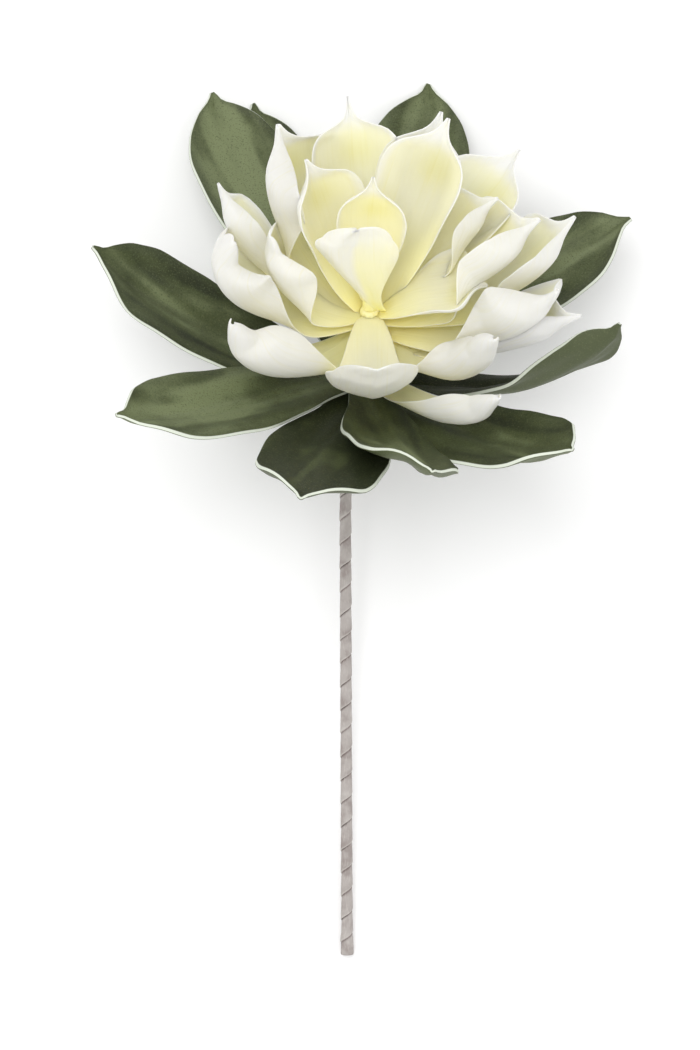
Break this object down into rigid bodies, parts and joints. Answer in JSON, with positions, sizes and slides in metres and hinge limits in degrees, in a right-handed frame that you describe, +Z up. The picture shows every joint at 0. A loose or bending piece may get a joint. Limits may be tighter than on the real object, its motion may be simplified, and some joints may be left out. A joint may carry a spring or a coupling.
{
  "type": "artificial lotus flower",
  "caption": "Open foam-sheet lotus flower with layers of cupped pointed petals, two stars of broad green leaves and a tape-wrapped wire stem, laid down on its side.",
  "frame": {"origin": "on the ground below the middle of the part, centred across its width and length", "axes": "+Z up from the ground the flower lies on; -Y along the stem to its foot, +Y to the top of the bloom; +X to the right as the bloom is seen from above"},
  "size_m": [0.298, 0.4983, 0.2185],
  "materials": {
    "leaf_foam": "matt foam sheet, olive green with a fine grain and pale cut edges",
    "petal_foam": "matt foam sheet, cream white, tinted yellow towards the roots",
    "stem_tape": "matt crinkled floral tape, taupe",
    "stem_wire": "bare steel wire"
  },
  "bodies": {
    "root": {"leaf_star_lower": "leaf_foam", "leaf_star_upper": "leaf_foam", "petals_lower": "petal_foam", "petals_upper": "petal_foam", "petals_bud": "petal_foam", "stem_tape": "stem_tape", "stem_wire": "stem_wire"}
  },
  "joints": []
}
